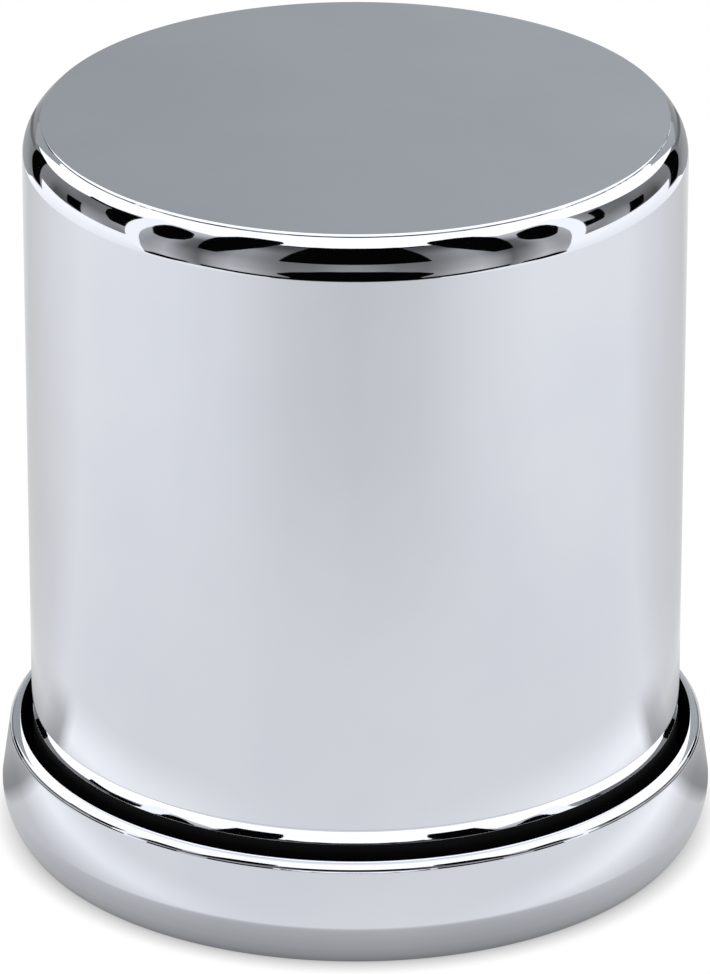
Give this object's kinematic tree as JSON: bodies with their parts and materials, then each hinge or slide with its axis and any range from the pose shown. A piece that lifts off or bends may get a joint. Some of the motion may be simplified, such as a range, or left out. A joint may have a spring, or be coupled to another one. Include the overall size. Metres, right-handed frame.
{
  "type": "wheel center cap",
  "caption": "Deep round push-through wheel center cap in mirror chrome, with a closed flat end, a rolled rim and a flared flange with a standing lip round its open mouth.",
  "frame": {"origin": "middle of the open mouth, in the plane of the base on which the cap stands", "axes": "+Z along the cap's axis, from the open mouth to the closed end"},
  "size_m": [0.117, 0.117, 0.1235],
  "materials": {
    "chrome": "mirror-bright chrome plating"
  },
  "bodies": {
    "root": {"center_cap": "chrome"}
  },
  "joints": []
}
